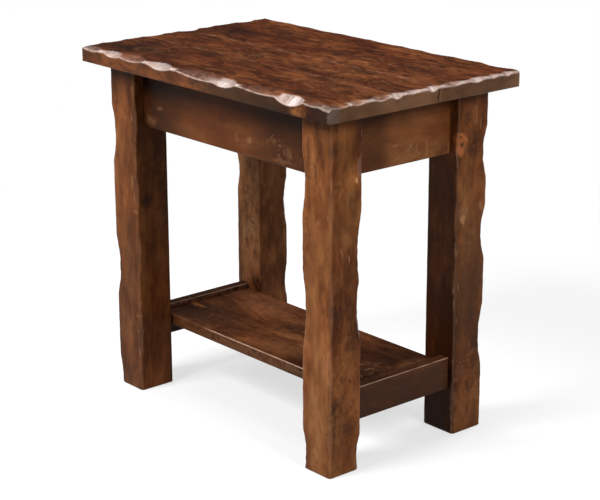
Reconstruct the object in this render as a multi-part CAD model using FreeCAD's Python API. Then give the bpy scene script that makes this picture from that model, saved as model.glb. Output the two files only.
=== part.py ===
# Rustic side table: a plank top with a hewn edge on four hewn square legs, four aprons,
# two low stretchers and a shelf. X runs along the table, Y from front to back, Z up.
# The origin is on the floor, under the middle of the top.
import FreeCAD, Part
import os

# Overall sizes, in millimetres
table_height = 610.0
top_length = 635.0
top_width = 405.0
top_thickness = 27.0
top_end_overhang = 34.0
top_side_overhang = 32.0
leg_side = 67.5

# Aprons under the top, set back from the outer faces of the legs
apron_height = 104.0
apron_thickness = 20.0
apron_setback = 21.0

# Low stretchers on edge between the front and back legs, and the shelf between them
stretcher_height = 55.5
stretcher_thickness = 19.5
stretcher_top = 134.0
stretcher_setback = 13.5
shelf_thickness = 19.0
shelf_side_gap = 5.0
shelf_drop = 7.5

# Mortise and tenon joints: the cheeks have a thin glue line and the mortise is a little deeper
tenon_thickness = 8.0
tenon_length = 27.0
apron_tenon_shoulder = 12.0
stretcher_tenon_shoulder = 8.0
glue_line = 0.1
mortise_spare_depth = 1.0

# Wood dowels that carry the shelf's ends in the stretchers
dowel_diameter = 8.0
dowel_length = 40.0
dowel_depth_in_stretcher = 12.0
dowel_clearance = 0.15
dowel_place_shares = (-0.3, 0.3)

# Diagonal corner blocks behind the aprons, clear of the leg's inner corner, each with one
# screw through its middle into the leg
block_thickness = 22.0
block_height = 60.0
block_corner_clearance = 0.3
block_screw_bite = 20.0

# Wood buttons that hold the top down: a body under the top, a tongue in a slot of the apron
button_width = 30.0
button_depth = 30.0
button_height = 18.0
tongue_length = 9.0
tongue_thickness = 8.0
tongue_clearance = 0.15
tongue_end_gap = 0.8
slot_side_room = 3.0
long_button_place_shares = (-0.16, 0.16)
button_screw_bite = 14.0

# Pan head wood screws through the blocks and the buttons
screw_shank_diameter = 4.0
screw_head_diameter = 8.0
screw_head_height = 3.0
screw_clearance = 0.15

# Eased arrises and the overrun of every cut
board_easing = 2.0
foot_easing = 2.0
top_lower_easing = 1.2
top_corner_radius = 1.5
arris_easing = 3.5
top_arris_easing = 3.6
overrun = 4.0

# Widths of the four boards of the top, front to back, as shares of the top's width
board_width_shares = (0.325, 0.23, 0.295, 0.15)
board_names = ("top_board_front", "top_board_mid_front", "top_board_mid_back", "top_board_back")

# Scallops of the top's upper arris. Each has its place along the side and half its length, as
# shares of the side, then its depth down the edge and its reach in from the edge, as shares
# of the top's thickness. The front and back run from left to right, the ends front to back.
front_scallop_shares = (
    (0.040, 0.055, 0.215, 0.55), (0.137, 0.047, 0.295, 0.60), (0.218, 0.068, 0.260, 0.85),
    (0.343, 0.060, 0.335, 0.64), (0.515, 0.120, 0.305, 0.95), (0.603, 0.060, 0.390, 0.70),
    (0.748, 0.095, 0.235, 1.00), (0.852, 0.062, 0.490, 0.66), (0.935, 0.050, 0.205, 0.60),
    (0.992, 0.045, 0.285, 0.30),
)
right_scallop_shares = (
    (0.055, 0.060, 0.190, 0.64), (0.145, 0.045, 0.215, 0.54), (0.262, 0.055, 0.225, 0.58),
    (0.338, 0.035, 0.275, 0.40), (0.415, 0.050, 0.170, 0.32), (0.525, 0.035, 0.265, 0.36),
    (0.635, 0.060, 0.205, 0.46), (0.765, 0.055, 0.230, 0.36), (0.855, 0.035, 0.175, 0.32),
    (0.930, 0.030, 0.200, 0.40),
)
back_scallop_shares = (
    (0.060, 0.070, 0.18, 0.24), (0.165, 0.060, 0.16, 0.22), (0.270, 0.085, 0.24, 0.30),
    (0.400, 0.070, 0.18, 0.20), (0.520, 0.080, 0.22, 0.26), (0.620, 0.055, 0.16, 0.22),
    (0.710, 0.075, 0.26, 0.34), (0.820, 0.060, 0.18, 0.22), (0.925, 0.062, 0.28, 0.38),
)
left_scallop_shares = (
    (0.045, 0.060, 0.24, 0.34), (0.160, 0.068, 0.26, 0.34), (0.270, 0.060, 0.18, 0.20),
    (0.370, 0.070, 0.26, 0.38), (0.460, 0.050, 0.18, 0.22), (0.557, 0.064, 0.34, 0.58),
    (0.655, 0.055, 0.20, 0.28), (0.760, 0.060, 0.18, 0.20), (0.880, 0.060, 0.30, 0.44),
    (0.960, 0.050, 0.20, 0.26),
)

# Hollows hewn into the three outer arrises of each leg. Each has its height and half its
# length, as shares of the leg's height, then how far it reaches across the face that runs
# along the table and across the face that runs front to back, as shares of the leg's side.
front_left_outer_shares = (
    (0.789, 0.101, 0.172, 0.172), (0.380, 0.107, 0.190, 0.190), (0.010, 0.100, 0.157, 0.157),
)
front_left_long_shares = (
    (0.837, 0.075, 0.105, 0.100), (0.615, 0.070, 0.110, 0.100), (0.443, 0.085, 0.105, 0.110),
    (0.180, 0.110, 0.100, 0.105),
)
front_left_short_shares = (
    (0.690, 0.120, 0.150, 0.160), (0.350, 0.110, 0.170, 0.165), (0.060, 0.080, 0.110, 0.110),
)
front_right_outer_shares = (
    (0.905, 0.070, 0.090, 0.095), (0.760, 0.080, 0.100, 0.085), (0.480, 0.110, 0.105, 0.110),
    (0.290, 0.080, 0.085, 0.095), (0.110, 0.090, 0.100, 0.090),
)
front_right_long_shares = (
    (0.812, 0.105, 0.140, 0.140), (0.458, 0.135, 0.163, 0.163), (0.046, 0.084, 0.162, 0.162),
)
front_right_short_shares = (
    (0.852, 0.048, 0.030, 0.220), (0.618, 0.135, 0.168, 0.168), (0.468, 0.112, 0.184, 0.184),
    (0.038, 0.078, 0.163, 0.163),
)
back_right_outer_shares = (
    (0.818, 0.086, 0.170, 0.170), (0.587, 0.090, 0.185, 0.185), (0.280, 0.110, 0.175, 0.175),
)
back_right_long_shares = (
    (0.780, 0.100, 0.150, 0.160), (0.520, 0.120, 0.175, 0.170), (0.210, 0.110, 0.160, 0.150),
)
back_right_short_shares = (
    (0.845, 0.060, 0.100, 0.115), (0.640, 0.062, 0.105, 0.110), (0.450, 0.090, 0.090, 0.095),
    (0.100, 0.090, 0.100, 0.100),
)
back_left_outer_shares = (
    (0.740, 0.130, 0.175, 0.175), (0.450, 0.120, 0.160, 0.165), (0.130, 0.110, 0.180, 0.175),
)
back_left_long_shares = (
    (0.780, 0.090, 0.140, 0.140), (0.493, 0.098, 0.160, 0.160), (0.228, 0.072, 0.132, 0.132),
)
back_left_short_shares = (
    (0.592, 0.066, 0.135, 0.135), (0.120, 0.080, 0.100, 0.100), (0.830, 0.070, 0.110, 0.110),
)

# Sizes worked out from those above
frame_length = top_length - 2 * top_end_overhang
frame_width = top_width - 2 * top_side_overhang
leg_height = table_height - top_thickness
apron_bottom = leg_height - apron_height
leg_inner_x = frame_length / 2 - leg_side
leg_inner_y = frame_width / 2 - leg_side
stretcher_bottom = stretcher_top - stretcher_height
stretcher_inner_x = frame_length / 2 - stretcher_setback - stretcher_thickness
shelf_width = 2 * (leg_inner_y - shelf_side_gap)
shelf_top = stretcher_top - shelf_drop
shelf_middle_height = shelf_top - shelf_thickness / 2
apron_inner_x = frame_length / 2 - apron_setback - apron_thickness
apron_inner_y = frame_width / 2 - apron_setback - apron_thickness
tongue_top = leg_height - (button_height - tongue_thickness)

X = FreeCAD.Vector(1, 0, 0)
Y = FreeCAD.Vector(0, 1, 0)
Z = FreeCAD.Vector(0, 0, 1)


def box(x0, x1, y0, y1, z0, z1):
    """Box between two corners."""
    return Part.makeBox(x1 - x0, y1 - y0, z1 - z0, FreeCAD.Vector(x0, y0, z0))


def hollow_cutter(arris_point, along, face_normal, top_normal, half_length, depth, reach):
    """Round cutter that leaves one hewn hollow on an arris.

    The hollow is straight across and a shallow arc along the arris. It takes depth off the
    face with face_normal and reach off the face with top_normal. The arc's radius follows
    from its chord, which is twice half_length, and from how deep it stands under the arris.
    """
    width = (depth ** 2 + reach ** 2) ** 0.5
    outward = (face_normal * depth + top_normal * reach) * (1 / width)
    across = along.cross(outward)
    sagitta = depth * reach / width
    radius = (half_length ** 2 + sagitta ** 2) / (2 * sagitta)
    cutter_length = width + 2 * overrun
    facet_middle = arris_point - face_normal * (reach / 2) - top_normal * (depth / 2)
    arris_offset = (arris_point - facet_middle).dot(across)
    centre = arris_point - across * arris_offset + outward * (radius - sagitta)
    return Part.makeCylinder(radius, cutter_length, centre - across * (cutter_length / 2), across)


def easing_cutter(arris_point, along, length, face_normal, top_normal, depth):
    """Straight cutter that eases a whole arris by the same amount on both faces."""
    outward = face_normal + top_normal
    corners = (
        arris_point - face_normal * (depth + overrun) + top_normal * overrun,
        arris_point + face_normal * overrun - top_normal * (depth + overrun),
        arris_point + outward * (depth + overrun),
    )
    triangle = Part.Face(Part.makePolygon(corners + corners[:1]))
    triangle.translate(along * -overrun)
    return triangle.extrude(along * (length + 2 * overrun))


def top_side_cutters(start, along, length, outward, scallop_shares):
    """Cutters for one side of the top: light easings above and below, then the scallops."""
    cutters = [
        easing_cutter(start, along, length, outward, Z, top_arris_easing),
        easing_cutter(start - Z * top_thickness, along, length, outward, -Z, top_lower_easing),
    ]
    for place, half_length, depth, reach in scallop_shares:
        cutters.append(hollow_cutter(
            start + along * (length * place), along, outward, Z,
            length * half_length, top_thickness * depth, top_thickness * reach,
        ))
    return cutters


def hewn_slab():
    """The whole top before it is parted along its glue lines."""
    half_l = top_length / 2
    half_w = top_width / 2
    slab = box(-half_l, half_l, -half_w, half_w, leg_height, table_height)
    upright_edges = [e for e in slab.Edges if abs(e.tangentAt(e.FirstParameter).z) > 0.5]
    slab = slab.makeFillet(top_corner_radius, upright_edges)
    front_left = FreeCAD.Vector(-half_l, -half_w, table_height)
    front_right = FreeCAD.Vector(half_l, -half_w, table_height)
    back_left = FreeCAD.Vector(-half_l, half_w, table_height)
    cutters = top_side_cutters(front_left, X, top_length, -Y, front_scallop_shares)
    cutters += top_side_cutters(back_left, X, top_length, Y, back_scallop_shares)
    cutters += top_side_cutters(front_left, Y, top_width, -X, left_scallop_shares)
    cutters += top_side_cutters(front_right, Y, top_width, X, right_scallop_shares)
    for cutter in cutters:
        slab = slab.cut(cutter)
    return slab


def top_boards():
    """The four boards of the top, parted from the hewn slab, with the buttons' screw holes."""
    slab = hewn_slab()
    for place, inward in button_places():
        slab = slab.cut(button_screw_hole(place, inward))
    boards = {}
    start = -top_width / 2
    for name, share in zip(board_names, board_width_shares):
        end = start + top_width * share
        parting = box(-top_length, top_length, start, end, 0, table_height + overrun)
        boards[name] = slab.common(parting)
        start = end
    return boards


def leg(side_x, side_y, outer_shares, long_shares, short_shares):
    """One leg. side_x and side_y say which corner of the table it stands at."""
    corner_x = side_x * frame_length / 2
    corner_y = side_y * frame_width / 2
    inner_x = side_x * leg_inner_x
    inner_y = side_y * leg_inner_y
    shape = box(
        min(corner_x, inner_x), max(corner_x, inner_x),
        min(corner_y, inner_y), max(corner_y, inner_y), 0, leg_height,
    )
    foot_edges = [e for e in shape.Edges if e.BoundBox.ZMax < foot_easing]
    shape = shape.makeChamfer(foot_easing, foot_edges)
    out_x = X * side_x
    out_y = Y * side_y
    arrises = (
        (corner_x, corner_y, out_x, out_y, outer_shares),
        (inner_x, corner_y, -out_x, out_y, long_shares),
        (corner_x, inner_y, out_x, -out_y, short_shares),
    )
    for x, y, normal_x, normal_y, shares in arrises:
        foot = FreeCAD.Vector(x, y, 0)
        shape = shape.cut(easing_cutter(foot, Z, leg_height, normal_x, normal_y, arris_easing))
        for height, half_length, along_table, front_to_back in shares:
            shape = shape.cut(hollow_cutter(
                foot + Z * (leg_height * height), Z, normal_x, normal_y,
                leg_height * half_length, leg_side * front_to_back, leg_side * along_table,
            ))
    return shape.cut(leg_mortises(side_x, side_y)).cut(block_screw_hole(side_x, side_y))


def leg_mortises(side_x, side_y):
    """Three mortises: for the long apron, the short apron and the stretcher."""
    long_way = tenon_box(apron_tenon_shoulder, apron_bottom, apron_height, glue_line)
    short_way = tenon_box(apron_tenon_shoulder, apron_bottom, apron_height, glue_line)
    low = tenon_box(stretcher_tenon_shoulder, stretcher_bottom, stretcher_height, glue_line)
    depth = tenon_length + mortise_spare_depth
    long_y = side_y * (frame_width / 2 - apron_setback - apron_thickness / 2)
    short_x = side_x * (frame_length / 2 - apron_setback - apron_thickness / 2)
    low_x = side_x * (frame_length / 2 - stretcher_setback - stretcher_thickness / 2)
    start_x = side_x * (leg_inner_x - overrun)
    end_x = side_x * (leg_inner_x + depth)
    start_y = side_y * (leg_inner_y - overrun)
    end_y = side_y * (leg_inner_y + depth)
    return [
        box(min(start_x, end_x), max(start_x, end_x),
            long_y - long_way[0], long_y + long_way[0], long_way[1], long_way[2]),
        box(short_x - short_way[0], short_x + short_way[0],
            min(start_y, end_y), max(start_y, end_y), short_way[1], short_way[2]),
        box(low_x - low[0], low_x + low[0],
            min(start_y, end_y), max(start_y, end_y), low[1], low[2]),
    ]


def tenon_box(shoulder, bottom, height, room):
    """Half thickness, lowest and highest level of a tenon, or of its mortise with some room."""
    return (
        tenon_thickness / 2 + room,
        bottom + shoulder - room,
        bottom + height - shoulder + room,
    )


def eased_board(x0, x1, y0, y1, z0, z1, long_axis, highest_eased):
    """Board whose long arrises are rounded, up to the level highest_eased."""
    shape = box(x0, x1, y0, y1, z0, z1)
    long_edges = [
        e for e in shape.Edges
        if abs(e.tangentAt(e.FirstParameter).dot(long_axis)) > 0.5
        and e.BoundBox.ZMax < highest_eased + board_easing
    ]
    return shape.makeFillet(board_easing, long_edges)


def long_apron(side_y):
    """Front or back apron with its two tenons."""
    outer = side_y * (frame_width / 2 - apron_setback)
    inner = side_y * apron_inner_y
    low, high = min(outer, inner), max(outer, inner)
    half, bottom, top = tenon_box(apron_tenon_shoulder, apron_bottom, apron_height, 0)
    middle = (low + high) / 2
    reach = leg_inner_x + tenon_length
    board = eased_board(
        -leg_inner_x, leg_inner_x, low, high, apron_bottom, leg_height, X, apron_bottom)
    tenons = box(-reach, reach, middle - half, middle + half, bottom, top)
    return board.fuse(tenons).removeSplitter()


def short_apron(side_x):
    """Left or right apron with its two tenons."""
    outer = side_x * (frame_length / 2 - apron_setback)
    inner = side_x * apron_inner_x
    low, high = min(outer, inner), max(outer, inner)
    half, bottom, top = tenon_box(apron_tenon_shoulder, apron_bottom, apron_height, 0)
    middle = (low + high) / 2
    reach = leg_inner_y + tenon_length
    board = eased_board(
        low, high, -leg_inner_y, leg_inner_y, apron_bottom, leg_height, Y, apron_bottom)
    tenons = box(middle - half, middle + half, -reach, reach, bottom, top)
    return board.fuse(tenons).removeSplitter()


def stretcher(side_x):
    """Left or right low stretcher on edge, with its two tenons and the dowel holes."""
    outer = side_x * (frame_length / 2 - stretcher_setback)
    inner = side_x * stretcher_inner_x
    low, high = min(outer, inner), max(outer, inner)
    half, bottom, top = tenon_box(
        stretcher_tenon_shoulder, stretcher_bottom, stretcher_height, 0)
    middle = (low + high) / 2
    reach = leg_inner_y + tenon_length
    board = eased_board(
        low, high, -leg_inner_y, leg_inner_y, stretcher_bottom, stretcher_top, Y, stretcher_top)
    tenons = box(middle - half, middle + half, -reach, reach, bottom, top)
    return board.fuse(tenons).removeSplitter().cut(shelf_dowels(dowel_clearance))


def shelf_board():
    """Flat shelf whose ends butt against the stretchers."""
    half = shelf_width / 2
    board = eased_board(
        -stretcher_inner_x, stretcher_inner_x, -half, half,
        shelf_top - shelf_thickness, shelf_top, X, shelf_top)
    return board.cut(shelf_dowels(dowel_clearance))


def shelf_dowels(room=0.0):
    """Dowels across the joint of the shelf with each stretcher, or their holes with room."""
    pegs = []
    for side_x in (-1, 1):
        outer_end = side_x * (stretcher_inner_x + dowel_depth_in_stretcher + room)
        for share in dowel_place_shares:
            start = FreeCAD.Vector(outer_end, shelf_width * share, shelf_middle_height)
            pegs.append(Part.makeCylinder(
                dowel_diameter / 2 + room, dowel_length + 2 * room, start, X * -side_x))
    return pegs


def corner_block(side_x, side_y):
    """Diagonal block from apron to apron across a corner, bored for its screw."""
    corner_x = side_x * frame_length / 2
    corner_y = side_y * frame_width / 2
    apron_face = apron_setback + apron_thickness
    near_sum = 2 * leg_side + 2 * block_corner_clearance
    far_sum = near_sum + block_thickness * 2 ** 0.5
    outline = [
        FreeCAD.Vector(corner_x - side_x * a, corner_y - side_y * b, leg_height - block_height)
        for a, b in (
            (near_sum - apron_face, apron_face), (far_sum - apron_face, apron_face),
            (apron_face, far_sum - apron_face), (apron_face, near_sum - apron_face),
        )
    ]
    block = Part.Face(Part.makePolygon(outline + outline[:1])).extrude(Z * block_height)
    return block.cut(block_screw_hole(side_x, side_y))


def block_screw_seat(side_x, side_y):
    """Where a block's screw head sits on its middle, and the way out of the block."""
    outward = FreeCAD.Vector(-side_x, -side_y, 0).normalize()
    inner_corner = FreeCAD.Vector(
        side_x * leg_inner_x, side_y * leg_inner_y, leg_height - block_height / 2)
    block_back = inner_corner + outward * (block_corner_clearance * 2 ** 0.5)
    return block_back + outward * block_thickness, outward


def block_screw(side_x, side_y):
    """Screw through the middle of a corner block into the leg."""
    seat, outward = block_screw_seat(side_x, side_y)
    return screw(seat, outward, block_thickness + block_screw_bite)


def block_screw_hole(side_x, side_y):
    """Hole for that screw, through the block and into the leg."""
    seat, outward = block_screw_seat(side_x, side_y)
    return screw_hole(seat, outward, block_thickness + block_screw_bite)


def screw(seat, outward, length):
    """Pan head screw. Its head sits on seat and outward points from seat to the head."""
    shank = Part.makeCylinder(screw_shank_diameter / 2, length, seat - outward * length, outward)
    head = Part.makeCylinder(screw_head_diameter / 2, screw_head_height, seat, outward)
    return shank.fuse(head)


def screw_hole(seat, outward, length):
    """Hole for a screw's shank, a little wider and deeper than the shank."""
    depth = length + screw_clearance
    radius = screw_shank_diameter / 2 + screw_clearance
    return Part.makeCylinder(radius, depth + overrun, seat - outward * depth, outward)


def button_places():
    """Place of each button on the apron's inner face, under the top, and the way inward."""
    places = []
    for side_y in (-1, 1):
        for share in long_button_place_shares:
            place = FreeCAD.Vector(frame_length * share, side_y * apron_inner_y, leg_height)
            places.append((place, Y * -side_y))
    for side_x in (-1, 1):
        places.append((FreeCAD.Vector(side_x * apron_inner_x, 0, leg_height), X * -side_x))
    return places


def local_box(place, inward, depth_from, depth_to, half_width, z0, z1):
    """Box set out from an apron's inner face: depth counts into the room."""
    sideways = Z.cross(inward)
    a = place + inward * depth_from - sideways * half_width
    b = place + inward * depth_to + sideways * half_width
    return box(min(a.x, b.x), max(a.x, b.x), min(a.y, b.y), max(a.y, b.y), z0, z1)


def button(place, inward):
    """Wood button: a body under the top with a tongue that sits in the apron's slot."""
    body = local_box(
        place, inward, tongue_end_gap, tongue_end_gap + button_depth, button_width / 2,
        leg_height - button_height, leg_height)
    tongue = local_box(
        place, inward, tongue_end_gap - tongue_length, button_depth / 2, button_width / 2,
        tongue_top - tongue_thickness, tongue_top)
    return body.fuse(tongue).removeSplitter().cut(button_screw_hole(place, inward))


def button_slot(place, inward):
    """Slot in the apron for a button's tongue, wider than it so that the top can move."""
    return local_box(
        place, inward, -tongue_length, overrun, button_width / 2 + slot_side_room,
        tongue_top - tongue_thickness - tongue_clearance, tongue_top + tongue_clearance)


def button_screw_seat(place, inward):
    """Middle of a button's underside, where the screw's head sits."""
    return place + inward * (tongue_end_gap + button_depth / 2) - Z * button_height


def button_screw(place, inward):
    """Screw up through a button into the top."""
    return screw(button_screw_seat(place, inward), -Z, button_height + button_screw_bite)


def button_screw_hole(place, inward):
    """Hole for that screw, through the button and into the top."""
    return screw_hole(button_screw_seat(place, inward), -Z, button_height + button_screw_bite)


def save(name, shape):
    """Writes one node, with its solids, as a STEP file."""
    shape.exportStep("parts/" + name + ".step")
    print(name, len(shape.Solids), "solids", round(shape.Volume / 1000), "cm3", shape.isValid())


def main():
    """Builds every node of the table and writes it."""
    os.makedirs("parts", exist_ok=True)
    nodes = dict(top_boards())

    nodes["leg_front_left"] = leg(
        -1, -1, front_left_outer_shares, front_left_long_shares, front_left_short_shares)
    nodes["leg_front_right"] = leg(
        1, -1, front_right_outer_shares, front_right_long_shares, front_right_short_shares)
    nodes["leg_back_right"] = leg(
        1, 1, back_right_outer_shares, back_right_long_shares, back_right_short_shares)
    nodes["leg_back_left"] = leg(
        -1, 1, back_left_outer_shares, back_left_long_shares, back_left_short_shares)

    corners = [(side_x, side_y) for side_x in (-1, 1) for side_y in (-1, 1)]
    slots = [button_slot(place, inward) for place, inward in button_places()]
    nodes["apron_front"] = long_apron(-1).cut(slots)
    nodes["apron_back"] = long_apron(1).cut(slots)
    nodes["apron_left"] = short_apron(-1).cut(slots)
    nodes["apron_right"] = short_apron(1).cut(slots)

    nodes["stretcher_left"] = stretcher(-1)
    nodes["stretcher_right"] = stretcher(1)
    nodes["shelf_board"] = shelf_board()
    nodes["shelf_dowels"] = Part.Compound(shelf_dowels())

    nodes["corner_blocks"] = Part.Compound([corner_block(*corner) for corner in corners])
    nodes["corner_block_screws"] = Part.Compound([block_screw(*corner) for corner in corners])
    nodes["top_buttons"] = Part.Compound([button(*place) for place in button_places()])
    nodes["top_button_screws"] = Part.Compound([button_screw(*place) for place in button_places()])

    for name, shape in nodes.items():
        save(name, shape)


main()
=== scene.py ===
"""Looks of the rustic side table: hewn plank top and legs, dark stained wood, pale studio floor."""
import math
import bpy
import numpy as np
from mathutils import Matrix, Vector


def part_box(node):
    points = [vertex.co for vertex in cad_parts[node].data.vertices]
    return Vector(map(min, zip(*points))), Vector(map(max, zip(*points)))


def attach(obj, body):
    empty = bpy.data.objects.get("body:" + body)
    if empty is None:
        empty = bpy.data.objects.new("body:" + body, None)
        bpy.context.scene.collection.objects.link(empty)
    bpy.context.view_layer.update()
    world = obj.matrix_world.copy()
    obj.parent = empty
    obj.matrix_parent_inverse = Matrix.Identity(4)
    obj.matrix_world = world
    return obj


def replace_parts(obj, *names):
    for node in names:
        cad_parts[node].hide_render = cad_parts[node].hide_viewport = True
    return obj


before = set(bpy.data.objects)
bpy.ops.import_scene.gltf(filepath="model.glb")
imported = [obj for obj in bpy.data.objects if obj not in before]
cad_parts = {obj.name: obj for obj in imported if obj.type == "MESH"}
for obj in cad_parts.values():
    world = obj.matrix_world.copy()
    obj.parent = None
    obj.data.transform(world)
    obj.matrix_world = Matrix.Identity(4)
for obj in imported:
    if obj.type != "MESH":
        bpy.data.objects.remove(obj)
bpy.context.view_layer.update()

# Sizes, in metres, taken from the frame where it has them

top_boards = ("top_board_front", "top_board_mid_front", "top_board_mid_back", "top_board_back")
# Legs: left or right, front or back, and how blotchy the stain is
legs = {
    "leg_front_left": (-1, -1, 0.32), "leg_front_right": (1, -1, 0.4),
    "leg_back_right": (1, 1, 0.45), "leg_back_left": (-1, 1, 0.8),
}

slab_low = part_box("top_board_front")[0]
slab_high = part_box("top_board_back")[1]
slab_length = slab_high.x - slab_low.x
slab_width = slab_high.y - slab_low.y
slab_thickness = slab_high.z - slab_low.z
glue_lines = np.array([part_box(node)[1].y for node in top_boards[:-1]])
touching = 1e-6

slab_corner_radius = 0.0015
slab_arris_easing = 0.0036
slab_lower_easing = 0.0012
slab_arris_softness = 0.00035
slab_side_wave = 0.0007
seam_depth = 0.00035
seam_reach = 0.0008
seam_shade_reach = 0.0022
arris_shade_reach = 0.0017
slab_grid_step = 0.0017

# Depths of the hewn cut at which its shades start or are full, and how far other shades reach
facet_full_cut = 0.0012
deep_full_cut = 0.006
dull_full_cut = 0.0025
gleam_first_cut = 0.0026
gleam_full_cut = 0.0056
dull_corner_reach = 0.055
end_reach = 0.02
front_strip = 0.03
wall_fade_reach = 0.0006
wall_arris_reach = 0.0009
wall_calm_start = 0.0012

leg_arris_easing = 0.0035
leg_foot_easing = 0.002
leg_rounding = 0.0016
leg_inner_rounding = 0.0008
leg_face_wave = 0.0003
leg_row_spacing = 0.0025

# Scallops of the top's upper arris: place and half length as shares of the side, then depth down
# the edge and reach in from it as shares of the top's thickness
front_scallops = (
    (0.04, 0.055, 0.215, 0.55), (0.137, 0.047, 0.295, 0.6), (0.218, 0.068, 0.26, 0.85),
    (0.343, 0.06, 0.335, 0.64), (0.515, 0.12, 0.305, 0.95), (0.603, 0.06, 0.39, 0.7),
    (0.748, 0.095, 0.235, 1), (0.852, 0.062, 0.49, 0.66), (0.935, 0.05, 0.205, 0.6),
    (0.992, 0.045, 0.285, 0.3),
)
right_scallops = (
    (0.055, 0.06, 0.19, 0.64), (0.145, 0.045, 0.215, 0.54), (0.262, 0.055, 0.225, 0.58),
    (0.338, 0.035, 0.275, 0.4), (0.415, 0.05, 0.17, 0.32), (0.525, 0.035, 0.265, 0.36),
    (0.635, 0.06, 0.205, 0.46), (0.765, 0.055, 0.23, 0.36), (0.855, 0.035, 0.175, 0.32),
    (0.93, 0.03, 0.2, 0.4),
)
back_scallops = (
    (0.06, 0.07, 0.18, 0.24), (0.165, 0.06, 0.16, 0.22), (0.27, 0.085, 0.24, 0.3),
    (0.4, 0.07, 0.18, 0.2), (0.52, 0.08, 0.22, 0.26), (0.62, 0.055, 0.16, 0.22),
    (0.71, 0.075, 0.26, 0.34), (0.82, 0.06, 0.18, 0.22), (0.925, 0.062, 0.28, 0.38),
)
left_scallops = (
    (0.045, 0.06, 0.24, 0.34), (0.16, 0.068, 0.26, 0.34), (0.27, 0.06, 0.18, 0.2),
    (0.37, 0.07, 0.26, 0.38), (0.46, 0.05, 0.18, 0.22), (0.557, 0.064, 0.34, 0.58),
    (0.655, 0.055, 0.2, 0.28), (0.76, 0.06, 0.18, 0.2), (0.88, 0.06, 0.3, 0.44),
    (0.96, 0.05, 0.2, 0.26),
)

# Hollows of each leg's three outer arrises: height and half length as shares of the leg's height,
# then the cut along the table and front to back as shares of the leg's side
leg_hollows = {
    "leg_front_left": (
        ((0.789, 0.101, 0.172, 0.172), (0.38, 0.107, 0.19, 0.19), (0.01, 0.1, 0.157, 0.157)),
        ((0.837, 0.075, 0.105, 0.1), (0.615, 0.07, 0.11, 0.1), (0.443, 0.085, 0.105, 0.11),
         (0.18, 0.11, 0.1, 0.105)),
        ((0.69, 0.12, 0.15, 0.16), (0.35, 0.11, 0.17, 0.165), (0.06, 0.08, 0.11, 0.11)),
    ),
    "leg_front_right": (
        ((0.905, 0.07, 0.09, 0.095), (0.76, 0.08, 0.1, 0.085), (0.48, 0.11, 0.105, 0.11),
         (0.29, 0.08, 0.085, 0.095), (0.11, 0.09, 0.1, 0.09)),
        ((0.812, 0.105, 0.14, 0.14), (0.458, 0.135, 0.163, 0.163), (0.046, 0.084, 0.162, 0.162)),
        ((0.852, 0.048, 0.03, 0.22), (0.618, 0.135, 0.168, 0.168), (0.468, 0.112, 0.184, 0.184),
         (0.038, 0.078, 0.163, 0.163)),
    ),
    "leg_back_right": (
        ((0.818, 0.086, 0.17, 0.17), (0.587, 0.09, 0.185, 0.185), (0.28, 0.11, 0.175, 0.175)),
        ((0.78, 0.1, 0.15, 0.16), (0.52, 0.12, 0.175, 0.17), (0.21, 0.11, 0.16, 0.15)),
        ((0.845, 0.06, 0.1, 0.115), (0.64, 0.062, 0.105, 0.11), (0.45, 0.09, 0.09, 0.095),
         (0.1, 0.09, 0.1, 0.1)),
    ),
    "leg_back_left": (
        ((0.74, 0.13, 0.175, 0.175), (0.45, 0.12, 0.16, 0.165), (0.13, 0.11, 0.18, 0.175)),
        ((0.78, 0.09, 0.14, 0.14), (0.493, 0.098, 0.16, 0.16), (0.228, 0.072, 0.132, 0.132)),
        ((0.592, 0.066, 0.135, 0.135), (0.12, 0.08, 0.1, 0.1), (0.83, 0.07, 0.11, 0.11)),
    ),
}

# Lighter and darker places of the top: shares of its length and width, reach in metres, amount
top_stains = (
    (0.1, 0.93, 0.075, 0.036, 0.21), (0.08, 0.71, 0.07, 0.05, -0.2), (0.74, 0.76, 0.13, 0.04, -0.05),
    (0.08, 0.42, 0.045, 0.04, -0.06), (0.11, 0.22, 0.03, 0.03, -0.16), (0.93, 0.58, 0.06, 0.08, -0.04),
    (0.47, 0.38, 0.05, 0.012, 0.08), (0.05, 0.07, 0.05, 0.025, -0.28), (0.16, 0.15, 0.055, 0.03, -0.26),
    (0.28, 0.1, 0.04, 0.02, -0.1), (0.13, 0.12, 0.035, 0.02, -0.1), (0.52, 0.08, 0.035, 0.022, -0.15),
    (0.37, 0.15, 0.03, 0.018, 0.06), (0.88, 0.38, 0.07, 0.12, 0.03), (0.38, 0.62, 0.06, 0.03, 0.05),
    (0.66, 0.62, 0.06, 0.03, 0.05), (0.3, 0.76, 0.03, 0.018, -0.1), (0.9, 0.14, 0.06, 0.03, -0.05),
    (0.1, 0.25, 0.06, 0.04, -0.06), (0.35, 0.15, 0.08, 0.05, -0.1), (0.71, 0.22, 0.09, 0.04, -0.07),
    (0.48, 0.21, 0.035, 0.03, -0.07), (0.51, 0.48, 0.07, 0.06, 0.06), (0.5, 0.68, 0.07, 0.08, 0.08),
    (0.68, 0.93, 0.22, 0.05, 0.1), (0.12, 0.82, 0.08, 0.035, -0.12), (0.38, 0.82, 0.07, 0.04, -0.14),
    (0.93, 0.92, 0.06, 0.06, 0.09),
)

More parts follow.
